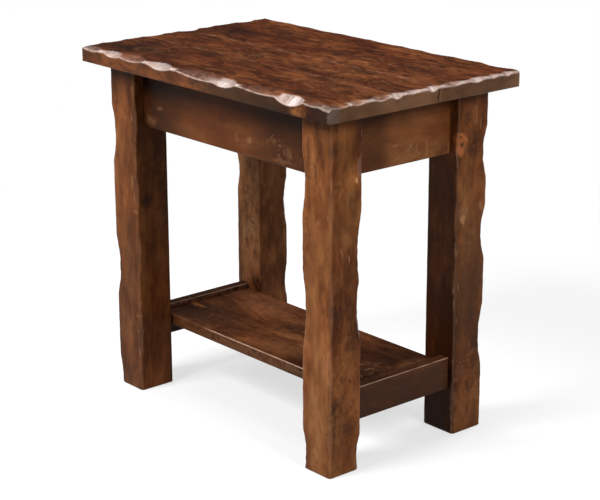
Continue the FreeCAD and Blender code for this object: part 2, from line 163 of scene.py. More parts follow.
# Stops of share and amount along the top's sides: how light the stain is, its darker stretches on the
# front partly painted shade under the deep hollows and its lighter ones on the end partly painted sheen,
# how far a calm colour hides the grain, which on the ends is painted sheen, and how much a gentler front
# facet gleams as well, a painted highlight
front_wall_tones_and_shade = (
    (0, 0.04), (0.46, 0.14), (0.57, -0.14), (0.7, -0.22), (0.84, -0.32), (0.9, -0.12), (0.94, -0.38),
    (1, -0.28),
)
right_wall_tones_and_sheen = (
    (0, -0.02), (0.2, 0.02), (0.27, 0.14), (0.5, 0.16), (0.58, 0.04), (0.9, 0.04), (1, 0.22),
)
front_wall_calm = ((0.47, 0.2), (0.59, 0.9), (0.82, 0.9), (0.87, 0.1), (0.92, 0.2), (0.97, 0.6))
front_gleams = ((0.525, 0), (0.555, 0.7), (0.6, 0.9), (0.66, 0.9), (0.695, 0))

# Checks across the front facets: share of the side, half width in metres, bend
front_checks = (
    (0.332, 0.001, 0.5), (0.377, 0.0012, -0.8), (0.598, 0.0012, 1.0), (0.611, 0.0015, -0.4),
    (0.622, 0.001, 1.4), (0.64, 0.0008, 0.3), (0.829, 0.0014, 1.0), (0.838, 0.0018, -0.7),
    (0.848, 0.0012, 0.4), (0.866, 0.0006, 1.6), (0.89, 0.0008, -1.0),
)

# How plainly each glue line of the top shows, from the front
seam_strengths = np.array([0.75, 1.25, 0.2])

# How light each leg's stain is down its front face and its right face, at even steps to the foot;
# the dark stops at the top of the front left leg's front face and down the back right leg's front
# face are painted shade
leg_stains_and_shade = {
    "leg_front_left": (
        (-0.3, -0.1, 0.02, 0.03, 0.01, -0.09, -0.09, -0.05, -0.01, -0.09, -0.09),
        (-0.05, -0.12, -0.12, 0.04, 0.07, 0.05, 0.05, -0.06, -0.18, -0.06, -0.06)),
    "leg_front_right": (
        (0.02, -0.02, -0.04, 0.05, 0.07, 0.12, 0.19, 0.23, 0.12, 0.05, 0.08),
        (-0.06, -0.14, -0.03, 0.06, -0.12, -0.05, -0.13, 0.1, 0.16, 0.07, 0.04)),
    "leg_back_right": (
        (-0.14, -0.14, -0.16, -0.14, -0.14, -0.34, -0.5, -0.52, -0.48, -0.42, -0.34),
        (-0.1, -0.06, 0.02, 0.15, 0.05, -0.08, -0.14, -0.12, -0.12, 0, 0)),
    "leg_back_left": ((0.16, 0.26, 0.3, 0.26, 0.12, 0.08), (0.06, 0.18, 0.18, 0.12, 0.04, 0.02)),
}


# Surfaces worked out with numpy


def wave(seed, *places, count=9, shortest=0.02, longest=0.12):
    """Smooth random wave from -1 to 1: a sum of sines, each with its own length, direction
    and phase, over any number of coordinates in metres."""
    rng = np.random.default_rng(seed)
    total = 0.0
    for _ in range(count):
        length = rng.uniform(shortest, longest)
        direction = rng.normal(size=len(places))
        direction = direction / np.linalg.norm(direction)
        phase = rng.uniform(0, 2 * np.pi)
        along = sum(part * place for part, place in zip(direction, places))
        total = total + np.sin(2 * np.pi * along / length + phase)
    return np.clip(total / np.sqrt(count), -1, 1)


def hill(away, reach):
    """1 where away is 0, falling on both sides as the exponential of minus the square."""
    return np.exp(-(away / reach) ** 2)


def unit(vectors):
    """Vectors divided by their lengths."""
    return vectors / np.maximum(np.linalg.norm(vectors, axis=-1, keepdims=True), 1e-9)


def largest(values, sharpness=8):
    """Soft maximum of arrays that are zero or more: the root of the sum of their powers."""
    stacked = np.maximum(np.stack(values), 0)
    return (stacked ** sharpness).sum(0) ** (1 / sharpness)


def hollow_cuts(hollows, share, easing, size):
    """Two cuts of an arris at each share of its length. Each hollow fades as one minus the square
    of the distance from its middle over its half length, and a light easing runs all along."""
    cuts = [[np.full_like(share, easing)], [np.full_like(share, easing)]]
    for place, half_length, *depths in hollows:
        fade = np.maximum(1 - ((share - place) / half_length) ** 2, 0)
        for cut, depth in zip(cuts, depths):
            cut.append(size * depth * fade)
    return largest(cuts[0]), largest(cuts[1])


def side_cut(hollows, share, length, distance, seed):
    """How far the hewn facet of one side lies under the top's face: it falls in a straight line
    from its reach to its depth at the edge, with a lightly ragged upper border and chatter."""
    run = share * length
    depth, reach = hollow_cuts(hollows, share, slab_arris_easing, slab_thickness)
    ragged = wave(seed, run, shortest=0.02, longest=0.06)
    chatter = wave(seed + 1, run, distance, shortest=0.01, longest=0.03)
    reach = reach * (1 + 0.035 * ragged)
    fall = depth * (1 - distance / reach)
    return np.maximum(fall * (1 + 0.006 * chatter), 0)


def slab_cut(x, y):
    """Depth of the hewn edge under the top's face, at any place on the slab."""
    from_left, from_front = x - slab_low.x, y - slab_low.y
    along_x, along_y = from_left / slab_length, from_front / slab_width
    return largest([
        side_cut(front_scallops, along_x, slab_length, from_front, 11),
        side_cut(back_scallops, along_x, slab_length, slab_width - from_front, 21),
        side_cut(left_scallops, along_y, slab_width, from_left, 31),
        side_cut(right_scallops, along_y, slab_width, slab_length - from_left, 41),
    ])


def spaced(start, end):
    """Places from start to end at an even step, with a few closer ones next to both ends."""
    close = np.array([0, 0.0004, 0.001])
    count = int(round((end - start - 4 * close[-1]) / slab_grid_step))
    middle = np.linspace(start + 2 * close[-1], end - 2 * close[-1], count + 1)
    return np.concatenate([start + close, middle, end - close[::-1]])


def rounded_corners(x, y):
    """Moves points in the slab's four corner squares onto quarter circles: the larger of the two
    offsets becomes the distance from the circle's middle."""
    half_x = slab_length / 2 - slab_corner_radius
    half_y = slab_width / 2 - slab_corner_radius
    dx = np.maximum(np.abs(x) - half_x, 0)
    dy = np.maximum(np.abs(y) - half_y, 0)
    length = np.hypot(dx, dy)
    scale = np.where(length > 0, np.maximum(dx, dy) / np.maximum(length, 1e-9), 1)
    new_x = np.where((dx > 0) & (dy > 0), np.sign(x) * (half_x + dx * scale), x)
    new_y = np.where((dx > 0) & (dy > 0), np.sign(y) * (half_y + dy * scale), y)
    return new_x, new_y


def grid_faces(index, closed=False):
    """Quads between neighbouring points of a grid whose vertex numbers are in index. A closed grid
    goes on from its last column to its first."""
    if closed:
        index = np.concatenate([index, index[:, :1]], axis=1)
    corners = (index[:-1, :-1], index[1:, :-1], index[1:, 1:], index[:-1, 1:])
    return np.stack(corners, -1).reshape(-1, 4)


def piece(name, points, quads, caps, shades, sharp_angle=38):
    """Makes a closed mesh from points, quads and flat end faces, with its shades as attributes."""
    mesh = bpy.data.meshes.new(name)
    mesh.from_pydata(points.tolist(), [], quads.tolist() + [cap.tolist() for cap in caps])
    for key, values in shades.items():
        attribute = mesh.attributes.new(key, "FLOAT", "POINT")
        attribute.data.foreach_set("value", values.astype(np.float32).ravel())
    mesh.validate()
    mesh.shade_smooth()
    mesh.set_sharp_from_angle(angle=math.radians(sharp_angle))
    made = bpy.data.objects.new(name, mesh)
    bpy.context.scene.collection.objects.link(made)
    return made


def slab_tone(x, y):
    """How much lighter or darker the stain is over the top's face: a sum of soft round hills."""
    tone = 0 * x
    for share_x, share_y, reach_x, reach_y, amount in top_stains:
        away_x = (x - slab_low.x - share_x * slab_length) / reach_x
        away_y = (y - slab_low.y - share_y * slab_width) / reach_y
        tone = tone + amount * np.exp(-away_x ** 2 - away_y ** 2)
    return tone


def between(stops, share):
    """Value at a share of the way, on straight lines between stops of share and value."""
    return np.interp(share, *zip(*stops))


def hewn_board(node):
    """One board of the top: a face over a grid that drops by the hewn cut at the slab's sides
    and by a fine groove at the glue lines, then walls down to a flat underside."""
    low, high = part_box(node)
    xs = spaced(low.x, high.x)
    ys = spaced(low.y, high.y)
    x, y = np.meshgrid(xs, ys, indexing="ij")
    cut = slab_cut(x, y)
    from_seam = y[..., None] - glue_lines
    groove = hill(from_seam, seam_reach).sum(-1)
    seam = (seam_strengths * hill(from_seam, seam_shade_reach)).sum(-1)
    seam = seam * np.clip(0.66 + 0.5 * wave(7, x, shortest=0.03, longest=0.14), 0, 1)
    face_x, face_y = rounded_corners(x, y)
    face_z = high.z - cut - seam_depth * groove
    index = np.arange(x.size).reshape(x.shape)
    face_points = np.stack([face_x, face_y, face_z], -1).reshape(-1, 3)

    ring = np.concatenate([index[:-1, 0], index[-1, :-1], index[:0:-1, -1], index[0, :0:-1]])
    ring_points = face_points[ring]
    flat_x, flat_y = x.ravel()[ring], y.ravel()[ring]
    out_x = 1.0 * (flat_x >= slab_high.x - touching) - (flat_x <= slab_low.x + touching)
    out_y = 1.0 * (flat_y >= slab_high.y - touching) - (flat_y <= slab_low.y + touching)
    outward = unit(np.stack([out_x, out_y, 0 * out_x], -1))
    lowest = low.z + slab_lower_easing
    levels = np.array([0.03, 0.1, 0.25, 0.42, 0.58, 0.75, 0.9, 1.0])
    walls = []
    for level in levels:
        z = ring_points[:, 2] + (lowest - ring_points[:, 2]) * level
        bulge = math.sin(math.pi * level) ** 0.5 if level < 1 else 0.0
        dent = slab_side_wave * bulge * (0.5 + 0.5 * wave(51, flat_x, flat_y, z * 2.5, longest=0.09))
        points = ring_points.copy()
        points[:, 2] = z
        walls.append(points - outward * dent[:, None])
    bottom = ring_points - outward * slab_lower_easing
    bottom[:, 2] = low.z
    walls.append(bottom)
    face_points[ring] += np.where(
        (np.abs(out_x) + np.abs(out_y) > 0)[:, None],
        -outward * slab_arris_softness - np.array([0, 0, slab_arris_softness * 0.6]), 0)

    points = np.concatenate([face_points] + walls)
    turns, count = len(walls), len(ring)
    wall_index = len(face_points) + np.arange(turns * count).reshape(turns, count)
    rings = np.concatenate([ring[None], wall_index])
    quads = np.concatenate([grid_faces(index), grid_faces(rings, True)])

    facet = np.clip(cut / facet_full_cut, 0, 1)
    slope = np.hypot(*np.gradient(cut, xs, ys))
    # The facets by the front right corner get a dull grey painted sheen
    from_corner = np.hypot(x - slab_high.x, 3 * (y - slab_low.y))
    corner = hill(from_corner, dull_corner_reach)
    clear = 1 - 0.92 * corner
    at_end = hill(slab_high.x - x, end_reach)
    deep = np.clip(cut * (1 + at_end) / deep_full_cut, 0, 1) * clear
    # Steep facets, and gentler front ones where they gleam, get a pale cut that is partly painted highlight
    steep = np.clip((slope - 0.4) / 0.3, 0, 1) * facet * clear
    share_x = (x - slab_low.x) / slab_length
    gleam = between(front_gleams, share_x) * (y - slab_low.y < front_strip)
    gleam = gleam * np.clip((cut - gleam_first_cut) / (gleam_full_cut - gleam_first_cut), 0, 1)
    steep = np.maximum(steep, gleam)
    from_side = np.min([x - slab_low.x, slab_high.x - x, y - slab_low.y, slab_high.y - y], 0)
    arris = hill(from_side, arris_shade_reach) * (1 - 0.25 * corner)

    fall = ring_points[:, 2] - lowest
    below = np.concatenate([fall * level for level in levels] + [fall + slab_lower_easing])
    wall_fade = hill(below, wall_fade_reach)
    # Tones and calm of the sides carry painted shade on the front and painted sheen on the ends
    front_share, right_share = share_x.ravel()[ring], (flat_y - slab_low.y) / slab_width
    front_tone = (out_y < 0) * between(front_wall_tones_and_shade, front_share)
    wall_tone = np.where(out_x > 0, between(right_wall_tones_and_sheen, right_share), front_tone)
    calm = np.where(out_y < 0, between(front_wall_calm, front_share), abs(out_x))
    on_face_and_walls = {
        "deep": (deep, np.tile(deep.ravel()[ring], turns) * wall_fade),
        "steep": (steep, np.tile(steep.ravel()[ring], turns) * wall_fade),
        "arris": (arris, hill(below, wall_arris_reach)),
        "dull": (corner * np.clip(cut / dull_full_cut, 0, 1), 0 * below),
        "seam": (seam, 0 * below),
        "calm": (0 * cut, np.tile(calm, turns) * (1 - hill(below, wall_calm_start))),
        "tone": (slab_tone(x, y), np.tile(wall_tone, turns)),
    }
    shades = {key: np.concatenate([face.ravel(), wall]) for key, (face, wall) in on_face_and_walls.items()}
    return piece(node + "_hewn", points, quads, [rings[-1][::-1]], shades)


def leg_section(cuts, side):
    """Corner points of a leg's section, counted round from the outer corner in the leg's own
    measure: u runs inwards along the table and w inwards front to back."""
    (outer_u, outer_w), (long_u, long_w), (short_u, short_w) = cuts
    zero = np.zeros_like(outer_u)
    full = np.full_like(outer_u, side)
    corners = [
        (outer_u, zero), (side - long_u, zero), (full, long_w), (full, full),
        (short_u, full), (zero, side - short_w), (zero, outer_w),
    ]
    return np.stack([np.stack(corner, -1) for corner in corners], 1)


def rounded_section(corners, rounding, arc_points=4, face_points=5):
    """Section line with each corner turned into a short quadratic arc, and points along the
    straights between. Works on all heights at once."""
    before = np.roll(corners, 1, axis=1)
    after = np.roll(corners, -1, axis=1)

    def toward(target):
        way = target - corners
        length = np.linalg.norm(way, axis=-1, keepdims=True)
        return corners + unit(way) * np.minimum(rounding[None, :, None], 0.42 * length)

    entry, leave = toward(before), toward(after)
    t = np.linspace(0, 1, arc_points)
    arc = np.stack([(1 - s) ** 2 * entry + 2 * s * (1 - s) * corners + s ** 2 * leave for s in t], 2)
    next_entry = np.roll(entry, -1, axis=1)
    f = np.linspace(0, 1, face_points + 2)[1:-1]
    straight = np.stack([leave + (next_entry - leave) * s for s in f], 2)
    return np.concatenate([arc, straight], 2).reshape(len(corners), -1, 2)


def hewn_leg(node):
    """One leg: a square section with three hewn corners, carried up its height."""
    side_x, side_y, _ = legs[node]
    low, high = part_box(node)
    side = high.x - low.x
    height = high.z - low.z
    z = np.concatenate([
        [0, leg_foot_easing],
        np.linspace(leg_foot_easing * 2, height, int(height / leg_row_spacing)),
    ])
    share = z / height
    seed = 100 + 10 * list(legs).index(node)
    cuts = []
    for number, hollows in enumerate(leg_hollows[node]):
        along_table, front_to_back = hollow_cuts(hollows, share, leg_arris_easing, side)
        chop = 1 + 0.06 * wave(seed + number, z, shortest=0.012, longest=0.05)
        cuts.append((along_table * chop, front_to_back * chop))
    corners = leg_section(cuts, side)
    rounding = np.full(7, leg_rounding)
    rounding[3] = leg_inner_rounding
    line = rounded_section(corners, rounding)
    around = line.shape[1]
    per_corner = around // 7
    on_facet = np.zeros(around)
    for start in (1, 4, 6):
        on_facet[start * per_corner + 2:(start + 1) * per_corner] = 1
        on_facet[start * per_corner + 1] = 0.5
        on_facet[(start + 1) * per_corner % around] = 0.7
    middle = side / 2
    ahead = np.roll(line, -1, axis=1) - np.roll(line, 1, axis=1)
    outward = unit(np.stack([ahead[..., 1], -ahead[..., 0]], -1))
    z_grid = np.repeat(z[:, None], around, 1)
    ripple = 0.5 + 0.5 * wave(seed + 5, line[..., 0], line[..., 1], z_grid, shortest=0.03, longest=0.16)
    chips = wave(seed + 6, line[..., 0] * 2, line[..., 1] * 2, z_grid, shortest=0.01, longest=0.028)
    dent = leg_face_wave * ripple + 0.00028 * on_facet * (0.5 + 0.5 * chips)
    line = line - outward * dent[..., None]
    shrink = np.where(z < leg_foot_easing / 2, 1 - leg_foot_easing / middle, 1)[:, None, None]
    line = middle + (line - middle) * shrink
    corner_x = high.x if side_x > 0 else low.x
    corner_y = high.y if side_y > 0 else low.y
    x = corner_x - side_x * line[..., 0]
    y = corner_y - side_y * line[..., 1]
    points = np.stack([x, y, low.z + z_grid], -1).reshape(-1, 3)
    index = np.arange(points.shape[0]).reshape(len(z), around)
    quads = grid_faces(index, True)
    caps = [index[-1][::-1], index[0]]
    if side_x * side_y > 0:
        quads = quads[:, ::-1]
        caps = [cap[::-1] for cap in caps]
    # Tone from the leg's stops, painted shade included, on the faces that look front and right
    tone = 0.0
    for facing, tones in zip((side_y * outward[..., 1], -side_x * outward[..., 0]), leg_stains_and_shade[node]):
        down = np.interp(1 - share, np.linspace(0, 1, len(tones)), tones)
        tone = tone + down[:, None] * np.clip((facing - 0.45) / 0.4, 0, 1)
    on_arris = np.zeros(around)
    for start in (0, 1, 2, 4, 5, 6):
        on_arris[start * per_corner + 1:start * per_corner + 3] = 1
    shades = {
        "hewn": np.repeat(on_facet[None], len(z), 0),
        "arris": np.repeat(on_arris[None], len(z), 0),
        "tone": tone,
    }
    return piece(node + "_hewn", points, quads, caps, shades, sharp_angle=60)


# Shader maths

coat_roughness = 0.3


class Value:
    """One output of a material's nodes. Arithmetic on it adds Math nodes."""

    def __init__(self, finish, socket):
        self.finish = finish
        self.socket = socket

    def __add__(self, other):
        return self.finish.maths("ADD", self, other)

    __radd__ = __add__

    def __mul__(self, other):
        return self.finish.maths("MULTIPLY", self, other)

    def __sub__(self, other):
        return self.finish.maths("SUBTRACT", self, other)

    def rising(self, start, end):
        """0 below start, 1 above end and smooth between, or the reverse where end is lower."""
        low, high = min(start, end), max(start, end)
        outcome = (0.0, 1.0) if start < end else (1.0, 0.0)
        return self.finish.node(
            "MapRange", {0: self, 1: low, 2: high, 3: outcome[0], 4: outcome[1]},
            interpolation_type="SMOOTHSTEP")


class Finish:
    """A material being made: its place, its noises' offset and its colour so far."""

    def __init__(self, name, specular, offset=(0, 0, 0)):
        self.material = bpy.data.materials.new(name)
        self.material.use_nodes = True
        self.tree = self.material.node_tree
        self.shader = self.tree.nodes["Principled BSDF"]
        self.shader.inputs["Specular IOR Level"].default_value = specular
        self.shader.inputs["Coat Roughness"].default_value = coat_roughness
        self.place = self.node("TexCoord", output="Object")
        self.offset = offset
        self.colour = None

    def node(self, kind, sockets=None, output=0, **settings):
        """Adds a node: its settings first, then the values or links of its sockets."""
        made = self.tree.nodes.new("ShaderNode" + kind)
        for key, setting in settings.items():
            setattr(made, key, setting)
        for key, value in (sockets or {}).items():
            self.feed(made.inputs[key], value)
        return Value(self, made.outputs[output])

    def feed(self, socket, value):
        """Links a value to a socket, or writes a constant there."""
        if isinstance(value, Value):
            self.tree.links.new(value.socket, socket)
        elif isinstance(value, tuple) and socket.type == "RGBA":
            socket.default_value = (*value, 1)
        else:
            socket.default_value = value

    def maths(self, operation, first, second):
        return self.node("Math", {0: first, 1: second}, operation=operation)

    def vector(self, operation, first, second, output=0):
        return self.node("VectorMath", {0: first, 1: second}, output, operation=operation)

    def length(self, vector):
        return self.vector("LENGTH", vector, (0, 0, 0), 1)

    def along(self, axis):
        """The place's coordinate along an axis."""
        return self.node("SeparateXYZ", {0: self.place}, axis)

    def lay(self, cover, tint, blend="MIX"):
        """Covers the colour with a tint, as far as cover says."""
        self.colour = self.node(
            "Mix", {0: cover, 6: self.colour, 7: tint}, 2, data_type="RGBA", blend_type=blend)

    def ramp(self, tone, stops):
        """Colour of a tone, from stops of tone and colour."""
        colour = self.node("ValToRGB", {0: tone})
        elements = colour.socket.node.color_ramp.elements
        while len(elements) < len(stops):
            elements.new(0.5)
        for element, (position, tint) in zip(elements, stops):
            element.position = position
            element.color = (*tint, 1)
        return colour

    def noise(self, place, scale, detail=2.0, roughness=0.55, distortion=0.0, output=0, offset=None):
        """Noise with its own scale along each axis, per metre."""
        offset = self.offset if offset is None else offset
        at = self.node("Mapping", {"Vector": place, "Location": offset, "Scale": scale})
        return self.node(
            "TexNoise", {"Vector": at, "Scale": 1.0, "Detail": detail, "Roughness": roughness,
                         "Distortion": distortion}, output)

    def swayed(self, scale, detail, amount, offset=None):
        """The place, moved about by noise."""
        sway = self.noise(self.place, scale, detail, output="Color", offset=offset)
        sway = self.vector("SUBTRACT", sway, (0.5, 0.5, 0.5))
        return self.vector("ADD", self.place, self.vector("MULTIPLY", sway, (amount, amount, amount)))

    def shade(self, name):
        """A shade that a mesh carries as an attribute."""
        return self.node("Attribute", output="Fac", attribute_name=name)

    def set(self, **inputs):
        for key, value in inputs.items():
            self.feed(self.shader.inputs[key.replace("_", " ").title()], value)

    def bump(self, height, strength, distance):
        normal = self.node("Bump", {"Height": height, "Strength": strength, "Distance": distance})
        self.feed(self.shader.inputs["Normal"], normal)


def stretched(axis, along, across):
    """Scale of a pattern that is long along the grain: axis 0, 1 or 2 is the grain's."""
    scale = [across, across, across]
    scale[axis] = along
    return tuple(scale)


def marked(wood, marks):
    """Lays curls and flecks over the colour. The distance from a mark's middle is counted in units
    of its reach at a place bent by noise: a patch fades out from the middle, a stroke has a firmer
    border, and a ring is the rim alone. More noise breaks up patches and rings. Curls and specks
    fill a patch with the fine light or dark ends of a noise."""
    if not marks:
        return
    still = (0, 0, 0)
    bent = wood.swayed((48, 48, 48), 3.0, 0.018, still)
    broken = wood.noise(bent, (120, 120, 90), 3.0, offset=still).rising(0.34, 0.58)
    fine = wood.noise(bent, (88, 88, 72), 3.0, distortion=1.2, offset=still)
    for shape, centre, reach, tint, strength in marks:
        distance = wood.length(wood.vector("DIVIDE", wood.vector("SUBTRACT", bent, centre), reach))
        if shape == "ring":
            cover = distance.rising(0.45, 0.8) * distance.rising(1.35, 0.95) * (broken * 0.7 + 0.3)
        elif shape == "stroke":
            cover = distance.rising(1.2, 0.6)
        elif shape in ("curls", "specks"):
            ends = (0.54, 0.64) if shape == "curls" else (0.46, 0.36)
            cover = distance.rising(1.25, 0.4) * fine.rising(*ends)
        else:
            cover = distance.rising(1.35, 0.3) * (broken * 0.6 + 0.4)
        wood.lay(cover * strength, tint)


def face_marks(origin, face, rows, usual_depth=10):
    """Marks on a flat face, from rows in millimetres: shape, place across and down from the
    origin, reach across and down, tint, strength, and depth where it isn't the usual one."""
    across, down = np.array(face)
    inward = 1 - abs(across) - abs(down)
    marks = []
    for shape, place_across, place_down, wide, tall, tint, strength, *own_depth in rows:
        depth = own_depth[0] if own_depth else usual_depth
        centre = np.array(origin) + (place_across * across + place_down * down) / 1000
        reach = (wide * abs(across) + tall * abs(down) + depth * inward) / 1000
        marks.append((shape, tuple(centre), tuple(reach), tint, strength))
    return marks


def stained_wood(name, axis, palette, offset, heart, lift=0.0, grain_length=24, grain_width=50, curl=1.0,
                 patches=0.5, blotches=0.25, layers=0.2, fibres=0.4, flecks=0.1, lights=0.5,
                 painted_shades=(), marks=(), arrises=(), edges=None):
    """Dark stained and varnished wood. Tone is 0.5 plus broad patches, blotches, growth layers
    about a slanted heart line and fine fibres along the grain, less dark flecks; the palette turns
    it into colour. Painted shades darken the colour along an axis where shade falls, then come
    marks, straight arrises lightened partly as wear and partly as painted highlight, and hewn edges."""
    wood = Finish(name, stain_specular, offset)
    place = wood.place
    bent = wood.swayed(stretched(axis, 3, 10), 2.0, 0.028)

    slant = [0.0, 0.0, 0.0]
    slant[(axis + 1) % 3] = 0.05
    slant[(axis + 2) % 3] = -0.04
    about = wood.vector("SUBTRACT", bent, heart)
    turned = wood.node("Mapping", {"Vector": about, "Rotation": tuple(slant)})
    radius = wood.length(wood.vector("MULTIPLY", turned, stretched(axis, 0.0, 1.0)))
    growth = wood.node("CombineXYZ", {0: radius * 150, 1: wood.along(axis) * 8})
    layer = wood.noise(growth, (1, 1, 1), 4.0, 0.6)
    patch = wood.noise(bent, stretched(axis, 9, 24))
    blotch = wood.noise(bent, stretched(axis, grain_length, grain_width), 2.5, 0.5, curl)
    blotch = blotch.rising(0.36, 0.64)
    fibre = wood.noise(bent, stretched(axis, 26, 420))
    dark_fleck = wood.noise(bent, stretched(axis, 42, 100), 2.0, 0.5, 0.8)
    other = tuple(part + 7.3 for part in offset)
    light_fleck = wood.noise(bent, stretched(axis, 40, 150), 2.0, 0.5, 0.8, offset=other)
    red = wood.noise(place, stretched(axis, 7, 24), offset=other)

    tone = (0.5 + lift) + (patch - 0.5) * (0.9 * patches) + (blotch - 0.5) * (0.28 * blotches)
    tone = tone + (layer - 0.5) * (0.75 * layers) + (fibre - 0.5) * (0.16 * fibres)
    tone = tone - dark_fleck.rising(0.58, 0.72) * (0.24 * flecks)
    tone = tone + light_fleck.rising(0.62, 0.76) * (0.22 * lights)
    # The mesh's tone: stain, with painted shade on some faces and painted sheen on the top's ends
    if edges:
        tone = tone + wood.shade("tone")
    wood.colour = wood.ramp(tone, palette)
    wood.lay(red.rising(0.42, 0.64) * 0.6, red_cast, "MULTIPLY")
    # Painted shade: the colour darkens along an axis where shade falls
    for direction, start, end, amount in painted_shades:
        wood.lay(wood.along(direction).rising(start, end) * amount, painted_shade_tint, "MULTIPLY")
    marked(wood, marks)
    # Straight arrises lightened partly as wear, partly as painted highlight
    for first, second, fade, strength in arrises:
        beside = wood.along(first[0]).rising(*first[1:])
        under = wood.along(second[0]).rising(*second[1:])
        rubbed = wood.noise(place, stretched(axis, 30, 90), offset=other).rising(0.3, 0.55) * 0.6 + 0.4
        wood.lay(beside * under * rubbed * wood.along(axis).rising(*fade) * strength, rubbed_arris_highlight)

    pore = wood.noise(place, stretched(axis, 75, 1300), 2.0, 0.5).rising(0.6, 0.7)
    wood.lay(pore * 0.2, dark_pore)
    sheen = stain_roughness + (blotch - 0.5) * 0.08
    if edges:
        sheen = edges(wood, sheen)
    wood.set(base_color=wood.colour, roughness=sheen)
    wood.bump(fibre * 0.4 + layer * 0.35 + blotch * 0.1 - pore * 0.2, 0.22, 0.0008)
    return wood.material


def top_edges(wood, sheen):
    """Calm stain over the slab's sides, which on the ends is painted sheen, then hewn facets with a lighter,
    pinkish cut where they are steep, partly worn wood and partly painted highlight, a dull grey painted
    sheen by the front right corner, fine checks across them, a bright lower arris that is partly wear and
    partly painted highlight, and light broken glue lines."""
    place = wood.place
    deep, steep, arris = wood.shade("deep"), wood.shade("steep"), wood.shade("arris")
    soft = wood.noise(place, (26, 26, 70))
    plain = wood.ramp(wood.shade("tone") + 0.5 + (soft - 0.5) * 0.35, wall_palette_and_sheen)
    wood.lay(wood.shade("calm") * 0.75, plain)
    marked(wood, wall_marks)
    worn = wood.noise(place, (60, 60, 60), 3.0)
    scuffed = worn.rising(0.3, 0.6)
    mottled = wood.noise(place, (95, 95, 95), 3.0, 0.6, 1.0).rising(0.38, 0.62)
    wood.lay(deep * (mottled * 0.48 + 0.06), deep_cut)
    wood.lay(wood.shade("dull") * 0.8, dull_corner_sheen)
    wood.lay(steep * (scuffed * 0.3 + 0.5), steep_cut_and_highlight)
    wood.lay(steep * wood.noise(place, (260, 260, 40)).rising(0.6, 0.67) * 0.4, check_brown)
    wobble = (wood.noise(place, (60, 130, 200), 3.0) - 0.5) * 0.012
    run = wood.along(0)
    in_front = wood.along(1).rising(slab_low.y + 0.032, slab_low.y + 0.02)
    for share, half_width, bend in front_checks:
        away = run + wobble * bend - (slab_low.x + share * slab_length)
        cut = (away * away).rising(half_width ** 2, (0.3 * half_width) ** 2) * in_front * steep
        wood.lay(cut * scuffed * 0.75, check_brown)
    wood.lay(arris * (worn.rising(0.34, 0.6) * 0.6 + 0.4) * 0.8, worn_arris_highlight)
    rubbed = wood.noise(place, (45, 60, 60), 3.0).rising(0.36, 0.58)
    wood.lay(wood.shade("seam") * rubbed * 0.46, light_seam)
    wood.set(coat_weight=deep * 0.25 + steep * 0.6)
    return sheen - deep * 0.08


def leg_edges(wood, sheen):
    """Hewn facets of a leg, barely lighter than its faces, with the odd light nick on an arris."""
    facet = wood.shade("hewn")
    wood.lay(facet * 0.12, leg_facet)
    nick = wood.noise(wood.place, (60, 60, 34), 3.0, 0.6).rising(0.58, 0.68)
    wood.lay(wood.shade("arris") * nick * 0.45, leg_nick)
    wood.set(coat_weight=facet * 0.25)
    return sheen


def bare_wood(name):
    """Planed pale hardwood that the varnish doesn't reach."""
    wood = Finish(name, 0.3)
    streak = wood.noise(wood.place, (40, 220, 60), 5.0)
    broad = wood.noise(wood.place, (8, 40, 20), 3.0)
    tone = streak + (broad - 0.5) * 0.7
    stops = [(0.2, (0.3, 0.175, 0.085)), (0.5, (0.44, 0.28, 0.145)), (0.8, (0.56, 0.39, 0.22))]
    wood.set(base_color=wood.ramp(tone, stops), roughness=0.6)
    wood.bump(streak, 0.15, 0.0006)
    return wood.material


def screw_steel(name):
    """Zinc plated steel, slightly uneven."""
    steel = Finish(name, 0.5)
    uneven = steel.noise(steel.place, (900, 900, 900), 3.0)
    steel.set(base_color=(0.55, 0.55, 0.53), metallic=1.0, roughness=0.28 + uneven * 0.22)
    return steel.material


# Stains: gloss, then palettes of tone and colour from the darkest stain to the lightest wood

stain_specular = 0.07
stain_roughness = 0.44


def stain_palette(*colours):
    """Colours at the five tones that the wood's palettes share."""
    return list(zip((0.1, 0.36, 0.52, 0.7, 0.92), colours))


top_palette = stain_palette(
    (0.022, 0.0055, 0.0018), (0.062, 0.0165, 0.005), (0.112, 0.032, 0.0095),
    (0.19, 0.06, 0.018), (0.3, 0.115, 0.04))
leg_palette = stain_palette(
    (0.04, 0.011, 0.0034), (0.105, 0.033, 0.009), (0.18, 0.062, 0.018),
    (0.275, 0.106, 0.034), (0.39, 0.18, 0.072))
apron_palette = stain_palette(
    (0.034, 0.0105, 0.0032), (0.085, 0.0265, 0.008), (0.14, 0.046, 0.014),
    (0.21, 0.078, 0.026), (0.31, 0.14, 0.056))
shelf_palette = stain_palette(
    (0.022, 0.0066, 0.0022), (0.056, 0.017, 0.0056), (0.1, 0.032, 0.0105),
    (0.165, 0.058, 0.02), (0.25, 0.108, 0.043))
stretcher_palette = stain_palette(
    (0.022, 0.0085, 0.0034), (0.052, 0.0195, 0.0085), (0.088, 0.036, 0.016),
    (0.145, 0.064, 0.029), (0.23, 0.115, 0.055))
# Calm colour of the top's sides; on the ends its greyer, lighter look is painted sheen
wall_palette_and_sheen = [
    (0.2, (0.038, 0.019, 0.0095)), (0.4, (0.082, 0.0415, 0.0205)),
    (0.55, (0.135, 0.071, 0.0375)), (0.75, (0.225, 0.125, 0.069)),
]

# Tints laid over the stain: wear and marks, and painted shade, sheen and highlights
red_cast = (1.0, 0.8, 0.74)
# Painted shade, multiplied in where shade falls
painted_shade_tint = (0.22, 0.19, 0.18)
# Upper arrises of stretchers and shelf: partly wear, partly painted highlight
rubbed_arris_highlight = (0.52, 0.34, 0.235)
dark_pore = (0.022, 0.008, 0.004)
deep_cut = (0.36, 0.185, 0.125)
# Dull grey painted sheen by the front right corner
dull_corner_sheen = (0.08, 0.049, 0.035)
